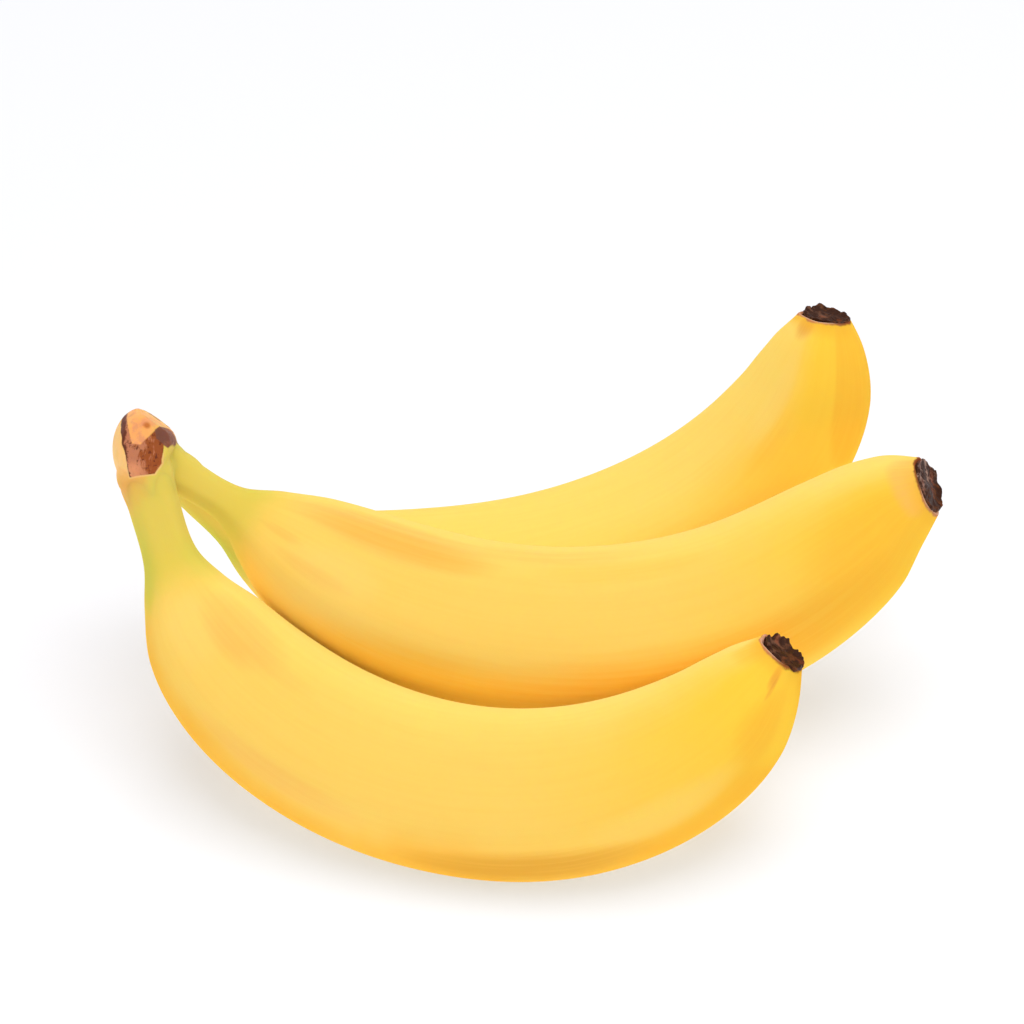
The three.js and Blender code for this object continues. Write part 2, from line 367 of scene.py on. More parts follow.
def makeSpotGroup():
    # a soft patch on a fruit's skin, at a place along it and round it
    inputs = [("Grain", "Vector"), ("Along", "Float"), ("Degrees", "Float"), ("Half Length", "Float")]
    inputs += [("Half Width", "Float"), ("Softness", "Float")]
    group, given, result = newGroup("skinSpot", inputs, [("Mask", "Float")])
    parts = put(group, "SeparateXYZ", {0: given["Grain"]}).outputs
    angle = calc(group, "DEGREES", calc(group, "ARCTAN2", parts[1], parts[0]))
    off = calc(group, "SUBTRACT", angle, given["Degrees"])
    off = put(group, "Math", {0: off, 1: 180.0, 2: -180.0}, operation="WRAP").outputs[0]
    across = calc(group, "DIVIDE", off, given["Half Width"])
    down = calc(group, "SUBTRACT", parts[2], given["Along"])
    down = calc(group, "DIVIDE", down, given["Half Length"])
    spread = calc(group, "POWER", calc(group, "ABSOLUTE", across), 2.0)
    spread = calc(group, "ADD", spread, calc(group, "POWER", calc(group, "ABSOLUTE", down), 2.0))
    full = calc(group, "SUBTRACT", 1.0, given["Softness"])
    group.links.new(fade(group, spread, 1.0, full), result["Mask"])
    return group


def makeFibreGroup():
    # fine lines that run along a fruit or its neck
    inputs = [("Grain", "Vector"), ("Fineness", "Float"), ("Stretch", "Float")]
    group, given, result = newGroup("skinFibres", inputs, [("Lines", "Float")])
    parts = put(group, "SeparateXYZ", {0: given["Grain"]}).outputs
    around = calc(group, "MULTIPLY", parts[0], given["Fineness"])
    across = calc(group, "MULTIPLY", parts[1], given["Fineness"])
    lengthwise = calc(group, "MULTIPLY", parts[2], given["Stretch"])
    place = put(group, "CombineXYZ", {0: around, 1: across, 2: lengthwise}).outputs[0]
    group.links.new(noise(group, place, 1.0, 4.0, 0.6), result["Lines"])
    return group


def makeNeckGroup():
    # straw of a neck, gold and green at its shoulder, with peach that creeps down from the crown
    inputs = [("Grain", "Vector"), ("Cloud", "Float"), ("Millimetres", "Float")]
    inputs += [("Peach", "Float"), ("Green", "Float")]
    group, given, result = newGroup("neckColour", inputs, [("Color", "Color"), ("Mask", "Float")])
    parts = put(group, "SeparateXYZ", {0: given["Grain"]}).outputs
    far = shifted(group, given["Millimetres"], given["Cloud"], 8.0)
    colour = blend(group, fade(group, far, 19.0, 30.0), neckSkin["straw"], neckSkin["gold"])
    outer = calc(group, "MULTIPLY", fade(group, parts[0], 0.0, -0.75), fade(group, far, 10.0, 26.0))
    within = fade(group, far, 21.0, 29.0, 0.0, 0.7)
    within = calc(group, "MULTIPLY", fade(group, parts[0], 0.4, 1.0), within)
    greener = calc(group, "MULTIPLY", calc(group, "ADD", outer, within), given["Green"])
    colour = blend(group, greener, colour, neckSkin["green"])
    reach = calc(group, "ADD", far, calc(group, "MULTIPLY", parts[0], 5.0))
    peachy = calc(group, "MULTIPLY", fade(group, reach, 15.0, 6.0), given["Peach"])
    colour = blend(group, peachy, colour, neckSkin["peach"])
    group.links.new(colour, result["Color"])
    group.links.new(fade(group, far, 42.0, 29.0), result["Mask"])
    return group


spotGroup = makeSpotGroup()
fibreGroup = makeFibreGroup()
neckGroup = makeNeckGroup()
print("shader groups made")

peel = {
    # the colour at the inner curve is painted light; orange at the belly is painted shade, and is also
    # the colour of the fibre lines
    "litLemon": tone(255, 214, 107),       # inner curve
    "yellow": tone(255, 209, 102),
    "deep": tone(255, 205, 68),         # towards the tip
    # warm: painted shade in orange, low on the middle fruit where the front fruit lies close below it
    "warm": tone(255, 194, 72),
    "orange": tone(244, 170, 48),       # belly
    # pale: painted highlights, and painted light that lifts spots on the lower sides and between the
    # fruits
    "pale": tone(255, 214, 116),
    "peach": tone(250, 188, 96),
    "amber": tone(249, 182, 58),
    "smudge": tone(230, 164, 80),
    "green": tone(200, 196, 60),
    # painted shade along small folds of the skin near the tip
    "creaseShade": tone(222, 134, 60),
    "shade": tone(222, 160, 58),
    "tornPink": tone(214, 156, 126),
    "tornBrown": tone(196, 126, 82),
    "tornRust": tone(140, 76, 42),
    "tornDark": tone(66, 36, 24),
    "bounce": tone(250, 239, 218),      # paler, for the light thrown on the floor
    "bounceNear": tone(288, 250, 190),  # warm and extra strong, for the light between two fruits
    "nearLength": (0.03, 0.012),        # metres between two fruits, from where it shows to full
    "roughness": 0.5,
    "glow": 0.35,                       # light that soaks into the flesh
    "glowDepth": 0.006,
    "glowSpread": (1.0, 0.5, 0.15),
    "bump": 0.12,
    "bumpDepth": 0.0004,
    # fineness of the marks: slow blotches, clouds, the torn edge and pores
    "blotchScale": 28.0,
    "cloudScale": 70.0,
    "tornScale": 300.0,
    "poreScale": 900.0,
    # bands round a fruit, 1 at its inner curve and -1 at its belly, from none to full: painted light at
    # the inner curve, which faces up, and painted shade at the belly
    "lemonBand": (0.3, 1.0),
    "deepBand": (0.95, 0.3),
    "bellyBand": (-0.35, -1.2),
    # stretches along a fruit, as shares
    "deepShares": (0.62, 0.95),
    "bellyShares": (0.13, 0.25),
    "bellyAtNeck": 0.3,
    # rings round the dry tip, in millimetres from the end, from none to full
    "glowRing": (5.5, 1.6),
    "tornRing": (2.1, 1.5),
    "pinkRing": (1.3, 0.9),
    "darkRing": (0.4, 0.0),
}

skin = {
    "rings": 240,
    "sides": 120,
    "ridges": 5,
    "crest": 0.006,        # sharpness of the ridges
    "crestPower": 6,
    "crestLevel": 0.2,     # taken off all round, so that the girth stays
    "tipCrest": 0.02,      # sharper towards the tip
    "tipCrestShares": (0.75, 0.97),
    "sway": 0.005,         # slow unevenness, past the neck
    "swayShares": (0.12, 0.3),
    "swayWaves": ((1, 2, 9), (0.6, 3, -15)),    # size, waves round, radians that they turn along
    "pleat": 0.012,        # gathers at the tip
    "pleatLength": 14,
    "pleatWaves": (0.6, 0.35, 8),      # size of those at the ridges, of finer ones, and their number
    # round the dry tip: out, up, and how far before the end its colour is taken
    "lip": ((-0.1, 0.05, 0.9), (-0.4, 0.1, 0.7), (-0.9, -0.3, 0), (-1.5, -1.4, 0)),
}


def fruitMesh(name, fruit):
    length = fruit["length"]
    shares = np.linspace(0, 1 - growth["tipStart"] / length, skin["rings"])
    course = courseOf(fruit, shares)
    inPlane, across = halfSizes(fruit, shares)
    angles = np.arange(skin["sides"]) / skin["sides"] * 2 * math.pi
    fromRidge = angles - math.radians(growth["ridgeFirst"] + fruit["turn"])
    seed = len(name)
    wave = np.cos(skin["ridges"] * fromRidge)
    crest = skin["crest"] + skin["tipCrest"] * smoothStep(shares, *skin["tipCrestShares"])[:, None]
    sharp = (0.5 + 0.5 * wave) ** skin["crestPower"] - skin["crestLevel"]
    form = 1 + growth["ridgeHeight"] * wave + crest * sharp
    sway = 0
    for number, (size, waves, twist) in enumerate(skin["swayWaves"], 1):
        sway = sway + size * np.sin(waves * angles[None] + twist * shares[:, None] + number * seed)
    form += skin["sway"] * smoothStep(shares, *skin["swayShares"])[:, None] * sway
    gather = smoothStep(shares * length, length - skin["pleatLength"], length)[:, None]
    atRidges, finer, fineCount = skin["pleatWaves"]
    form += skin["pleat"] * gather * (atRidges * wave + finer * np.sin(fineCount * angles + seed))[None]
    lift = endLift(fruit, shares)
    rings = ringsOf(course, inPlane[:, None] * form, across[:, None] * form, angles, lift)
    # the lip: out, over and in under the dry tip
    end, up = course[0][-1], course[1][-1]
    edge = rings[-1] - end
    radius = fruit["endRadius"]
    lip = [end + edge * (1 + outward / radius) + up * upward for outward, upward, _ in skin["lip"]]
    rings = np.vstack([rings, lip])
    rings[..., 2] = np.maximum(rings[..., 2], 0)        # the flat that it rests on
    mesh = stackMesh(name, rings, course[0][0], rings[-1].mean(axis=0))
    grain = np.empty((len(rings), skin["sides"], 3))
    grain[..., 0] = np.cos(angles)
    grain[..., 1] = np.sin(angles)
    lipShares = [1 - before / length for _, _, before in skin["lip"]]
    grain[..., 2] = np.append(shares, lipShares)[:, None]
    storeVector(mesh, "grain", np.vstack([grain.reshape(-1, 3), [[0, 0, 0]], [[0, 0, 1]]]))
    return mesh


def peelMaterial(name, fruit):
    material, tree = newMaterial(name)
    grain = put(tree, "Attribute", attribute_name="grain").outputs["Vector"]
    place = put(tree, "TexCoord").outputs["Object"]
    inner, front, share = put(tree, "SeparateXYZ", {0: grain}).outputs
    blotches = noise(tree, place, peel["blotchScale"], 3.0, 0.55)
    cloud = noise(tree, place, peel["cloudScale"], 4.0, 0.6)
    fibres = useGroup(tree, fibreGroup, {"Grain": grain, "Fineness": 16.0, "Stretch": 7.0})[0]

    # yellow that deepens from the inner curve to the belly, and towards the tip: the lighter inner
    # curve, which faces up, is painted light, and the orange of the belly below is painted shade
    around = shifted(tree, inner, blotches, 0.7)
    colour = blend(tree, fade(tree, around, *peel["lemonBand"]), peel["yellow"], peel["litLemon"])
    deeper = fade(tree, share, *peel["deepShares"])
    deeper = calc(tree, "MULTIPLY", deeper, fade(tree, around, *peel["deepBand"]))
    colour = blend(tree, deeper, colour, peel["deep"])
    belly = fade(tree, around, *peel["bellyBand"], 0.0, fruit["belly"])
    pastNeck = fade(tree, share, *peel["bellyShares"], peel["bellyAtNeck"], 1.0)
    colour = blend(tree, calc(tree, "MULTIPLY", belly, pastNeck), colour, peel["orange"])
    for colourName, at, degrees, length, width, softness, strength in fruit["patches"]:
        inputs = {"Grain": grain, "Along": at, "Degrees": degrees, "Half Length": length}
        inputs.update({"Half Width": width, "Softness": softness})
        spot = useGroup(tree, spotGroup, inputs)[0]
        streaky = calc(tree, "MULTIPLY", spot, fade(tree, fibres, 0.3, 0.6, 0.75 * strength, strength))
        colour = blend(tree, streaky, colour, peel[colourName])
    colour = blend(tree, fade(tree, fibres, 0.35, 0.75, 0.0, 0.08), colour, peel["orange"])

    # torn skin round the dry tip: a glow, then pink at one side and rust at the other
    side = math.radians(fruit["tornAt"])
    facing = calc(tree, "MULTIPLY", inner, math.cos(side))
    facing = calc(tree, "ADD", facing, calc(tree, "MULTIPLY", front, math.sin(side)))
    nearTorn = fade(tree, facing, 0.1, 0.9)
    left = calc(tree, "MULTIPLY", calc(tree, "SUBTRACT", 1.0, share), fruit["length"])
    left = shifted(tree, left, noise(tree, place, peel["tornScale"], 4.0, 0.6), 1.6)
    glow = fade(tree, left, *peel["glowRing"])
    glow = calc(tree, "MULTIPLY", glow, fade(tree, facing, -0.6, 0.9, 0.2, 0.8))
    colour = blend(tree, glow, colour, peel["amber"])
    torn = blend(tree, nearTorn, peel["tornRust"], peel["tornBrown"])
    colour = blend(tree, fade(tree, left, *peel["tornRing"]), colour, torn)
    pink = calc(tree, "MULTIPLY", fade(tree, left, *peel["pinkRing"]), nearTorn)
    colour = blend(tree, pink, colour, peel["tornPink"])
    colour = blend(tree, fade(tree, left, *peel["darkRing"]), colour, peel["tornDark"])

    far = calc(tree, "MULTIPLY", share, fruit["length"])
    inputs = {"Grain": grain, "Cloud": cloud, "Millimetres": far}
    inputs.update({"Peach": fruit["neckPeach"], "Green": fruit["neckGreen"]})
    neck = useGroup(tree, neckGroup, inputs)
    colour = blend(tree, neck["Mask"], colour, neck["Color"])

    # what the skin throws on other things is paler, and warm where a fruit is close behind it
    path = put(tree, "LightPath").outputs
    behind = calc(tree, "MULTIPLY", fade(tree, front, 0.1, -0.3), fade(tree, inner, -0.75, -0.25))
    behind = calc(tree, "MULTIPLY", behind, fade(tree, share, 0.10, 0.16))
    near = calc(tree, "MULTIPLY", fade(tree, path["Ray Length"], *peel["nearLength"]), behind)
    bounce = blend(tree, near, peel["bounce"], peel["bounceNear"])
    colour = blend(tree, path["Is Diffuse Ray"], colour, bounce)

    rough = fade(tree, cloud, 0.3, 0.7, peel["roughness"] - 0.05, peel["roughness"] + 0.08)
    pores = noise(tree, place, peel["poreScale"], 2.0, 0.5)
    height = calc(tree, "ADD", calc(tree, "MULTIPLY", fibres, 0.6), calc(tree, "MULTIPLY", pores, 0.4))
    inputs = {"Strength": peel["bump"], "Distance": peel["bumpDepth"], "Height": height}
    finishMaterial(tree, {
        "Base Color": colour, "Roughness": rough, "Normal": put(tree, "Bump", inputs).outputs[0],
        "Specular IOR Level": 0.0, "Subsurface Weight": peel["glow"],
        "Subsurface Scale": peel["glowDepth"], "Subsurface Radius": peel["glowSpread"],
    })
    return material


for fruitName, fruit in fruits.items():
    mesh = fruitMesh("finger" + fruitName.capitalize(), fruit)
    material = peelMaterial("peel" + fruitName.capitalize(), fruit)
    piece = addPiece("fruit_" + fruitName, mesh, material, "finger_" + fruitName)
print("fruits made")

tip = {
    "sides": 160,
    "teeth": 18,            # an even number, every other one high
    "fineTeeth": 44,
    "fineTear": 0.35,       # of the fine teeth, as a share of the others
    "nearTear": 0.4,        # how much less the near side is torn
    "farRise": 0.5,         # of the far side, as the near side is lower
    "dish": 0.8,            # depth of its hollow end
    "lumps": ((0.4, 0.45), (0.18, 1.3)),    # size in millimetres, and how many in a millimetre
    "black": tone(58, 27, 11),
    "brown": tone(102, 56, 25),
    "red": tone(142, 66, 30),
    "dust": tone(176, 142, 126),
    # fineness of its marks
    "broadScale": 260.0,
    "coarseScale": 520.0,
    "fineScale": 1600.0,
    "bump": 0.7,
    "bumpDepth": 0.0004,
}


def tornEdge(angles, count, seed):
    # uneven teeth round a rim, from -1 to 1
    draw = random.Random(seed)
    heights = [(-1) ** i * draw.uniform(0.1, 1) for i in range(count)]
    return np.interp(angles / (2 * math.pi) * count, range(count + 1), heights + heights[:1])


def lumpy(points, seed):
    # moves points in millimetres about, near ones alike
    moved = points.reshape(-1, 3).copy()
    for size, fineness in tip["lumps"]:
        for k, point in enumerate(points.reshape(-1, 3)):
            place = Vector(point) * fineness
            away = [lumps.noise(place + Vector((seed, 0, 40 * axis))) for axis in range(3)]
            moved[k] += np.array(away) * size
    return moved.reshape(points.shape)


def tipMesh(name, fruit, seed):
    stub = fruit["stub"]
    shares = np.linspace(0, 1 - growth["tipStart"] / fruit["length"], skin["rings"])
    at, up, inner, side = courseOf(fruit, shares)
    end = (at[-1:] - inner[-1:] * stub["aside"], up[-1:], inner[-1:], side)
    tilted = endLift(fruit, shares[-1:])
    angles = np.arange(tip["sides"]) / tip["sides"] * 2 * math.pi
    tear = tornEdge(angles, tip["teeth"], seed)
    tear = stub["tear"] * (tear + tip["fineTear"] * tornEdge(angles, tip["fineTeeth"], seed + 1))
    tear = tear * (1 - tip["nearTear"] * np.sin(angles))
    radius, height = fruit["endRadius"] - stub["inset"], stub["height"]
    dish = height - tip["dish"]
    # inset of each row from the side, its height, how torn it is, and how far its far side rises
    rows = [
        (0.6, -1.8, 0, 0), (0.3, -0.9, 0, 0), (0.1, -0.2, 0.1, 0.2), (0.0, 0.5 * height, 0.4, 0.7),
        (0.05, 0.85 * height, 0.8, 1), (0.2, height, 1, 1), (0.45, height, 1, 1),
        (0.8, height - 0.3, 0.7, 0.95), (1.2, height - 0.55, 0.4, 0.85), (1.7, dish + 0.1, 0.3, 0.7),
        (2.3, dish, 0.25, 0.6), (2.9, dish, 0.2, 0.5), (3.5, dish + 0.1, 0.1, 0.3),
        (4.1, dish + 0.15, 0, 0.2), (4.6, dish + 0.2, 0, 0),
    ]
    rings = []
    for inset, high, torn, risen in rows:
        rise = high + tear * torn - tip["farRise"] * risen * np.sin(angles)

        def lift(front, inward):
            return tilted(front, inward) + rise
        rings.append(ringsOf(end, radius - inset, radius - inset, angles, lift)[0])
    rings = lumpy(np.array(rings), seed)
    mesh = stackMesh(name, rings, rings[0].mean(axis=0) - up[-1] * 0.2, rings[-1].mean(axis=0))
    dust = stub["dust"] * smoothStep(np.cos(angles), -0.5, 1.0)
    storeValue(mesh, "dust", np.append(np.tile(dust, len(rows)), [0, 0]))
    return mesh


def tipMaterial():
    material, tree = newMaterial("dryTip")
    place = put(tree, "TexCoord").outputs["Object"]
    dust = put(tree, "Attribute", attribute_name="dust").outputs["Fac"]
    broad = noise(tree, place, tip["broadScale"], 3.0, 0.5)
    coarse = noise(tree, place, tip["coarseScale"], 4.0, 0.6)
    fine = noise(tree, place, tip["fineScale"], 4.0, 0.65)
    colour = blend(tree, fade(tree, coarse, 0.48, 0.68), tip["black"], tip["brown"])
    colour = blend(tree, fade(tree, broad, 0.54, 0.68, 0.0, 0.6), colour, tip["red"])
    dusty = calc(tree, "MULTIPLY", dust, fade(tree, shifted(tree, coarse, fine, 0.2), 0.46, 0.62))
    colour = blend(tree, dusty, colour, tip["dust"])
    height = calc(tree, "ADD", coarse, calc(tree, "MULTIPLY", fine, 0.35))
    bump = put(tree, "Bump", {"Strength": tip["bump"], "Distance": tip["bumpDepth"], "Height": height})
    rough = fade(tree, coarse, 0.3, 0.7, 0.4, 0.7)
    finishMaterial(tree, {
        "Base Color": colour, "Roughness": rough, "Normal": bump.outputs[0],
        "Specular IOR Level": 0.12,
    })
    return material


dryTip = tipMaterial()
for number, (fruitName, fruit) in enumerate(fruits.items()):
    mesh = tipMesh("tip" + fruitName.capitalize(), fruit, 11 + 7 * number)
    piece = addPiece("dry_tip_" + fruitName, mesh, dryTip, "tip_" + fruitName)
print("tips made")

crown = {
    # a rounded bar between two places, before the bunch is moved to the origin
    "front": (-84.6, 25.9, 71.5),
    "back": (-86.9, 41.1, 60.1),
    "halfWidth": 7.6,
    "halfHeight": 10.2,
    "endLength": 12,         # past each of the two places
    "endPowers": (3, 2.4),   # how it rounds off to its ends
    "barRings": 80,
    "barSides": 96,
    # a point on each flat cut and the way that it faces
    "cuts": {
        "scar": ((-84.6, 19.1, 76.3), (0.26, -0.78, 0.63)),
        "top": ((-81.9, 28.8, 77.2), (0.585, 0.476, 0.655)),
        "side": ((-79, 21.7, 72.5), (0.93, -0.22, -0.3)),
    },
    "cutUneven": 0.12,
    "cutWaves": ((2.1, 0.7, 1.3), (0.6, 1.9, -1.4)),
    "collarLength": 17,      # of each neck that is grown into the crown
    "collarRings": 50,
    "collarSides": 64,
    "collarSwell": 0.08,     # more than the neck
    "collarDive": 0.32,      # and less at its end, so that it goes in under the neck's skin
    "grainReach": 30,        # along each neck, to look for the nearest
    "grainSteps": 90,
    "voxel": 0.4,
    "smoothing": 6,
    # patches of the cut end, in millimetres: direction and distance of each side from its middle
    "stub": [(192, 3.7), (279, 5.9), (329, 5.6), (352, 5.0)],
    "wedge": [(196, 1.4), (262, -1.1), (315, -0.8)],
    "smudgeAt": (1.4, 5.5, 0),
    "bruise": [(186, -3.6), (232, -4.0), (127, 1.7), (318, 4.3)],
    "skinPeach": tone(255, 197, 122),
    "fresh": tone(254, 178, 104),
    "freshPink": tone(232, 158, 112),
    "freshGold": tone(240, 186, 98),
    "freshSmudge": tone(204, 118, 58),
    "pink": tone(196, 126, 92),
    "rust": tone(160, 84, 42),
    "purple": tone(124, 78, 64),
    "purpleRed": tone(152, 98, 76),
    "dark": tone(88, 42, 34),
    "rim": tone(244, 196, 132),
    # ragged depth under the cut in millimetres, from none to full
    "cutDepth": (19.0, 16.0),
    "hiddenDepth": (18.0, 25.0),
    "bruiseDepth": (12.0, 9.0),
    # the colours of the necks start past a ragged line, in millimetres
    "offNeck": (1.6, 0.4),
    "alongNeck": (4.0, 7.5),
    # fineness of its marks
    "cloudScale": 70.0,
    "coarseScale": 330.0,
    "fineScale": 1100.0,
    "bump": (0.08, 0.6),     # on the skin and on the cut
    "bumpDepth": 0.0005,
    "glowDepth": 0.004,
    "glowSpread": (1.0, 0.45, 0.1),
}


def crownBar():
    front = np.array(crown["front"]) - np.array(growth["middleAt"])
    back = np.array(crown["back"]) - np.array(growth["middleAt"])
    middle = (front + back) / 2
    span = np.linalg.norm(back - front)
    forward = (back - front) / span
    halfLength = span / 2 + crown["endLength"]
    level = np.cross((0, 0, 1), forward)
    level /= np.linalg.norm(level)
    upward = np.cross(forward, level)
    angles = np.arange(crown["barSides"]) / crown["barSides"] * 2 * math.pi
    inner, outer = crown["endPowers"]
    rings = []
    for i in range(1, crown["barRings"]):
        place = -math.cos(i / crown["barRings"] * math.pi)
        fullness = (1 - abs(place) ** inner) ** (1 / outer)
        ring = middle + forward * place * halfLength
        ring = ring + level * (crown["halfWidth"] * fullness * np.cos(angles))[:, None]
        rings.append(ring + upward * (crown["halfHeight"] * fullness * np.sin(angles))[:, None])
    rings = np.array(rings)
    first, second = crown["cutWaves"]
    for at, facing in crown["cuts"].values():
        normal = np.array(facing) / np.linalg.norm(facing)
        beyond = (rings - np.array(at) + np.array(growth["middleAt"])) @ normal
        uneven = crown["cutUneven"] * np.sin(rings @ first) * np.sin(rings @ second)
        rings = rings - normal * np.maximum(beyond - uneven, 0)[..., None]
    return stackMesh("bar", rings, rings[0].mean(axis=0), rings[-1].mean(axis=0))


def neckCollar(fruit):
    # the first stretch of a neck, that dives under the fruit's own skin at its end
    shares = np.linspace(0, crown["collarLength"] / fruit["length"], crown["collarRings"])
    course = courseOf(fruit, shares)
    inPlane, across = halfSizes(fruit, shares)
    last = shares[-1]
    swell = crown["collarSwell"] - crown["collarDive"] * smoothStep(shares, last * 0.25, last)
    swell += fruit["neckFlare"] * smoothStep(shares, last * 0.62, last * 0.32)
    angles = np.arange(crown["collarSides"]) / crown["collarSides"] * 2 * math.pi
    inPlane, across = (inPlane + swell)[:, None], (across + swell)[:, None]
    rings = ringsOf(course, inPlane, across, angles, lambda front, inner: 0 * front)
    return stackMesh("collar", rings, course[0][0], course[0][-1])


def nearestGrain(points):
    # how far each point of the crown lies outside the nearest neck, and its place round and along it
    best = np.full(len(points), 1e9)
    grain = np.zeros((len(points), 3))
    for fruit in fruits.values():
        shares = np.linspace(0, crown["grainReach"] / fruit["length"], crown["grainSteps"])
        at, up, inner, side = courseOf(fruit, shares)
        inPlane, across = halfSizes(fruit, shares)
        gaps = np.linalg.norm(points[:, None] - at[None], axis=2)
        nearest = gaps.argmin(axis=1)
        off = points - at[nearest]
        x = (off * inner[nearest]).sum(axis=1)
        y = off @ side
        size = np.hypot(x, y) + 1e-6
        outside = size - inPlane[nearest]
        closer = outside < best
        best = np.where(closer, outside, best)
        value = np.stack([x / size, y / size, shares[nearest] * fruit["length"]], axis=1)
        grain = np.where(closer[:, None], value, grain)
    return best, grain


def crownMesh():
    made = []
    for mesh in [crownBar()] + [neckCollar(fruit) for fruit in fruits.values()]:
        part = bpy.data.objects.new("part", mesh)
        bpy.context.scene.collection.objects.link(part)
        made.append(part)
    whole = made[0]
    with bpy.context.temp_override(active_object=whole, selected_editable_objects=made):
        bpy.ops.object.join()
    remesh = whole.modifiers.new("oneSkin", "REMESH")
    remesh.mode = "VOXEL"
    remesh.voxel_size = crown["voxel"] * mm
    soften = whole.modifiers.new("soften", "SMOOTH")
    soften.iterations = crown["smoothing"]
    shown = whole.evaluated_get(bpy.context.evaluated_depsgraph_get())
    mesh = bpy.data.meshes.new_from_object(shown)
    bpy.data.objects.remove(whole)
    mesh.name = "crown"
    points = np.empty(len(mesh.vertices) * 3)
    mesh.vertices.foreach_get("co", points)
    points = points.reshape(-1, 3) / mm
    fromNeck, grain = nearestGrain(points)
    storeVector(mesh, "grain", grain)
    storeValue(mesh, "fromNeck", fromNeck)
    at, facing = crown["cuts"]["scar"]
    normal = np.array(facing) / np.linalg.norm(facing)
    depth = (points - np.array(at) + np.array(growth["middleAt"])) @ normal
    storeValue(mesh, "scarDepth", -depth)
    mesh.polygons.foreach_set("use_smooth", [True] * len(mesh.polygons))
    mesh.update()
    return mesh


def outsideOf(tree, right, upward, sides):
    # how far a place lies outside a patch with straight sides
    outside = None
    for degrees, distance in sides:
        across = calc(tree, "MULTIPLY", right, math.cos(math.radians(degrees)))
        over = calc(tree, "MULTIPLY", upward, math.sin(math.radians(degrees)))
        beyond = calc(tree, "SUBTRACT", calc(tree, "ADD", across, over), distance)
        outside = beyond if outside is None else calc(tree, "MAXIMUM", outside, beyond)
    return outside


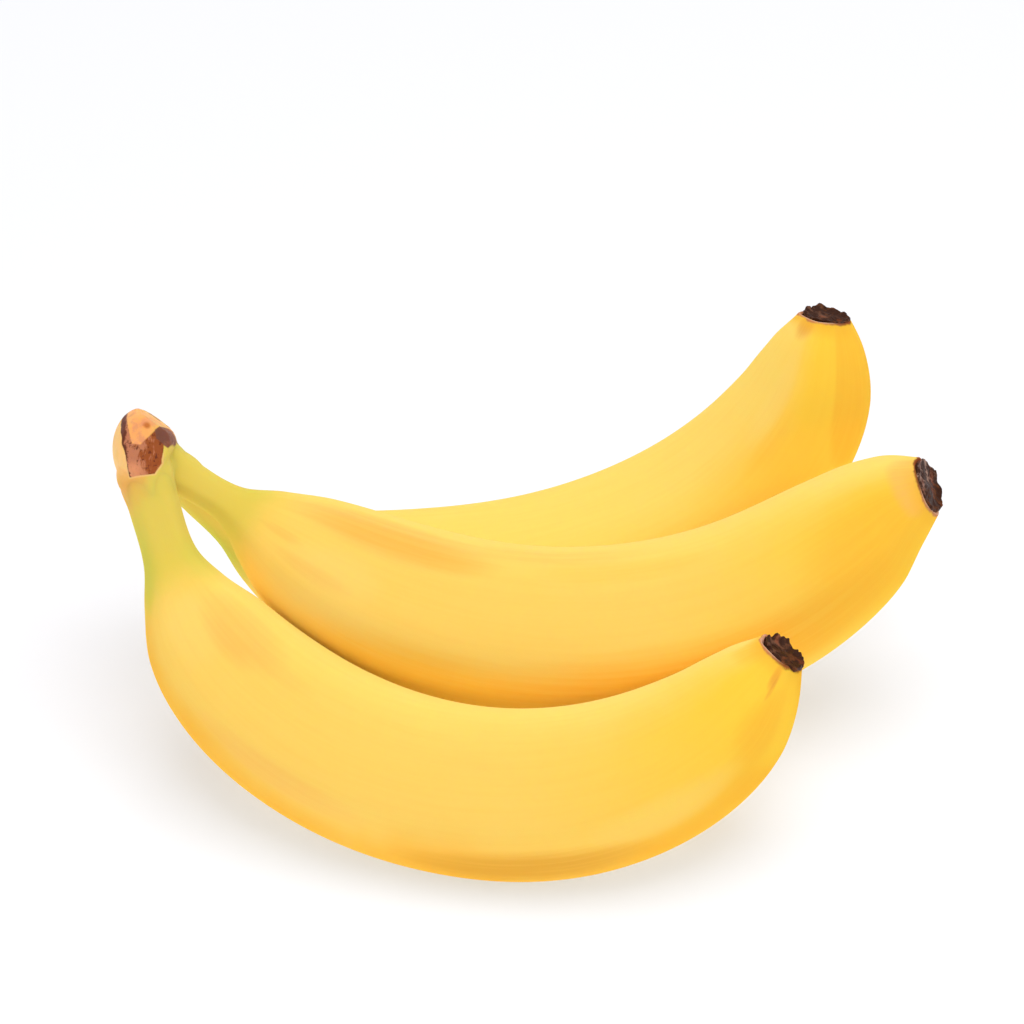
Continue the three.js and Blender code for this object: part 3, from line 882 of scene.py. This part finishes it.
def crownMaterial():
    material, tree = newMaterial("crownStalk")
    place = put(tree, "TexCoord").outputs["Object"]
    grain = put(tree, "Attribute", attribute_name="grain").outputs["Vector"]
    fromNeck = put(tree, "Attribute", attribute_name="fromNeck").outputs["Fac"]
    depth = put(tree, "Attribute", attribute_name="scarDepth").outputs["Fac"]
    cloud = noise(tree, place, crown["cloudScale"], 4.0, 0.6)
    coarse = noise(tree, place, crown["coarseScale"], 4.0, 0.6)
    fine = noise(tree, place, crown["fineScale"], 4.0, 0.65)
    # the face of the cut, in millimetres right and up from its middle
    origin = np.array(crown["front"]) - np.array(growth["middleAt"])
    right = shifted(tree, distanceAlong(tree, place, (1, 0, 0), origin), coarse, 1.0)
    upward = shifted(tree, distanceAlong(tree, place, (0, 0.588, 0.809), origin), coarse, 0.8)
    ragged = shifted(tree, shifted(tree, depth, cloud, 14.0), coarse, 12.0)
    nearCut = fade(tree, ragged, *crown["cutDepth"])

    # the skin of the stalk, then that of the necks
    golden = fade(tree, coarse, 0.45, 0.75, 0.0, 0.5)
    colour = blend(tree, golden, crown["skinPeach"], crown["freshGold"])
    hidden = fade(tree, ragged, *crown["hiddenDepth"])
    hidden = calc(tree, "MULTIPLY", hidden, fade(tree, coarse, 0.36, 0.62, 0.0, 0.8))
    colour = blend(tree, hidden, colour, crown["rust"])
    lowRight = calc(tree, "MULTIPLY", fade(tree, right, 1.5, 4.0), fade(tree, upward, 2.4, 1.0))
    colour = blend(tree, lowRight, colour, neckSkin["straw"])
    millimetres = put(tree, "SeparateXYZ", {0: grain}).outputs[2]
    inputs = {"Grain": grain, "Cloud": cloud, "Millimetres": millimetres}
    inputs.update({"Peach": fade(tree, right, 0.5, 3.0, 1.0, 0.0), "Green": 0.35})
    neck = useGroup(tree, neckGroup, inputs)
    onNeck = fade(tree, shifted(tree, fromNeck, cloud, 0.6), *crown["offNeck"])
    onNeck = calc(tree, "MULTIPLY", onNeck, fade(tree, millimetres, *crown["alongNeck"]))
    colour = blend(tree, onNeck, colour, neck["Color"])

    # the cut: pink with streaks of rust, clusters of dark specks and a dark edge at its left
    wide, tall = calc(tree, "MULTIPLY", right, 0.8), calc(tree, "MULTIPLY", upward, 0.3)
    streaks = noise(tree, put(tree, "CombineXYZ", {0: wide, 1: tall}).outputs[0], 1.0, 3.0, 0.6)
    rusty = calc(tree, "ADD", calc(tree, "MULTIPLY", right, 0.05), streaks)
    cut = blend(tree, fade(tree, rusty, 0.45, 0.62), crown["pink"], crown["rust"])
    specks = fade(tree, fine, 0.52, 0.6, 0.0, 0.75)
    specks = calc(tree, "MULTIPLY", specks, fade(tree, streaks, 0.46, 0.54))
    cut = blend(tree, specks, cut, crown["dark"])
    lowLeft = calc(tree, "MULTIPLY", fade(tree, upward, -2.0, -4.5), fade(tree, right, 2.0, -1.5))
    cut = blend(tree, calc(tree, "MULTIPLY", lowLeft, 0.7), cut, crown["freshPink"])
    fromLeft = calc(tree, "MULTIPLY", outsideOf(tree, right, upward, crown["stub"][:1]), -1.0)
    thickness = fade(tree, upward, -5.0, 7.0, 0.0, 1.3)
    darkEdge = calc(tree, "SUBTRACT", shifted(tree, fromLeft, fine, 2.4), thickness)
    cut = blend(tree, fade(tree, darkEdge, 0.35, -0.1, 0.0, 0.9), cut, crown["dark"])
    # fresh wedge at its top, and a bruise at its right
    fresh = blend(tree, fade(tree, right, 1.0, 4.0), crown["fresh"], crown["freshGold"])
    fresh = blend(tree, fade(tree, coarse, 0.48, 0.62, 0.0, 0.8), fresh, crown["freshPink"])
    inputs = {0: put(tree, "CombineXYZ", {0: right, 1: upward}).outputs[0], 1: crown["smudgeAt"]}
    toSmudge = put(tree, "VectorMath", inputs, operation="DISTANCE").outputs[1]
    fresh = blend(tree, fade(tree, toSmudge, 1.2, 0.3), fresh, crown["freshSmudge"])
    wedge = fade(tree, outsideOf(tree, right, upward, crown["wedge"]), 0.2, -0.2)
    cut = blend(tree, wedge, cut, fresh)
    bruised = blend(tree, fade(tree, coarse, 0.45, 0.65), crown["purple"], crown["purpleRed"])
    bruise = fade(tree, outsideOf(tree, right, upward, crown["bruise"]), 0.15, -0.15)
    bruise = calc(tree, "MULTIPLY", bruise, fade(tree, ragged, *crown["bruiseDepth"]))
    cut = blend(tree, bruise, cut, bruised)

    # the cut on the skin, with a pale rim below
    outside = outsideOf(tree, right, upward, crown["stub"])
    rim = calc(tree, "MULTIPLY", fade(tree, outside, 0.5, 0.2), fade(tree, upward, 0.0, -2.0, 0.0, 0.7))
    colour = blend(tree, calc(tree, "MULTIPLY", rim, nearCut), colour, crown["rim"])
    inside = calc(tree, "MAXIMUM", fade(tree, outside, 0.12, -0.12), bruise)
    inside = calc(tree, "MULTIPLY", inside, nearCut)
    colour = blend(tree, inside, colour, cut)

    height = calc(tree, "ADD", coarse, calc(tree, "MULTIPLY", fine, 0.6))
    strength = fade(tree, inside, 0.0, 1.0, *crown["bump"])
    bump = put(tree, "Bump", {"Strength": strength, "Distance": crown["bumpDepth"], "Height": height})
    rough = fade(tree, fine, 0.3, 0.7, 0.5, 0.75)
    finishMaterial(tree, {
        "Base Color": colour, "Roughness": rough, "Normal": bump.outputs[0],
        "Specular IOR Level": 0.06, "Subsurface Weight": peel["glow"],
        "Subsurface Scale": crown["glowDepth"], "Subsurface Radius": crown["glowSpread"],
    })
    return material


crownPiece = addPiece("crown_stalk", crownMesh(), crownMaterial(), "crown")
print("crown made")

stage = {
    "floorSize": 8.0,
    "floorTone": (0.75, 0.78, 0.82, 1.0),       # as it lights the fruits
    "floorSeen": (0.915, 0.92, 0.955, 1.0),     # as the camera sees it
    "floorGlow": 0.48,             # strength of the glow, as it lights the fruits
    "floorLift": 0.01,             # and as the camera sees it
    "skyLow": 0.45,                # strength at the horizon and overhead
    "skyHigh": 0.92,
    "keyAt": (0.14, -0.15, 1.6),
    "keySize": 1.1,
    "keyPower": 9.9,
    "elevation": 36.0,             # degrees that the camera looks down
    "lens": 100.0,
    "distance": 0.690,
    "aim": (0.0, 45.0, 40.0),      # in millimetres, before the bunch is moved to the origin
}


def makeFloor():
    half = stage["floorSize"] / 2
    mesh = bpy.data.meshes.new("floor")
    corners = [(-half, -half, 0), (half, -half, 0), (half, half, 0), (-half, half, 0)]
    mesh.from_pydata(corners, [], [(0, 1, 2, 3)])
    floor = bpy.data.objects.new("floor", mesh)
    bpy.context.scene.collection.objects.link(floor)
    material, tree = newMaterial("paleFloor")
    seen = put(tree, "LightPath").outputs["Is Camera Ray"]
    finishMaterial(tree, {
        "Base Color": blend(tree, seen, stage["floorTone"], stage["floorSeen"]),
        "Roughness": 0.9, "Specular IOR Level": 0.1, "Emission Color": (1.0, 1.0, 1.0, 1.0),
        "Emission Strength": fade(tree, seen, 0.0, 1.0, stage["floorGlow"], stage["floorLift"]),
    })
    mesh.materials.append(material)


def makeLight():
    world = bpy.data.worlds.new("studio")
    world.use_nodes = True
    tree = world.node_tree
    upward = put(tree, "SeparateXYZ", {0: put(tree, "TexCoord").outputs["Generated"]}).outputs[2]
    strength = fade(tree, upward, 0.0, 1.0, stage["skyLow"], stage["skyHigh"])
    background = tree.nodes["Background"]
    background.inputs["Color"].default_value = (1, 1, 1, 1)
    tree.links.new(strength, background.inputs["Strength"])
    bpy.context.scene.world = world
    lamp = bpy.data.lights.new("key", "AREA")
    lamp.shape = "SQUARE"
    lamp.size = stage["keySize"]
    lamp.energy = stage["keyPower"]
    key = bpy.data.objects.new("key", lamp)
    key.location = stage["keyAt"]
    key.rotation_euler = (-Vector(stage["keyAt"])).to_track_quat("-Z", "Y").to_euler()
    bpy.context.scene.collection.objects.link(key)


def makeCamera():
    data = bpy.data.cameras.new("camera")
    data.lens = stage["lens"]
    data.sensor_width = 36
    camera = bpy.data.objects.new("camera", data)
    rise = math.radians(stage["elevation"])
    back = Vector((0, -math.cos(rise), math.sin(rise)))
    aim = (Vector(stage["aim"]) - Vector(growth["middleAt"])) * mm
    camera.location = aim + back * stage["distance"]
    camera.rotation_euler = (-back).to_track_quat("-Z", "Y").to_euler()
    bpy.context.scene.collection.objects.link(camera)
    bpy.context.scene.camera = camera


makeFloor()
makeLight()
makeCamera()
bpy.context.scene.view_settings.view_transform = "Standard"
print("stage made")
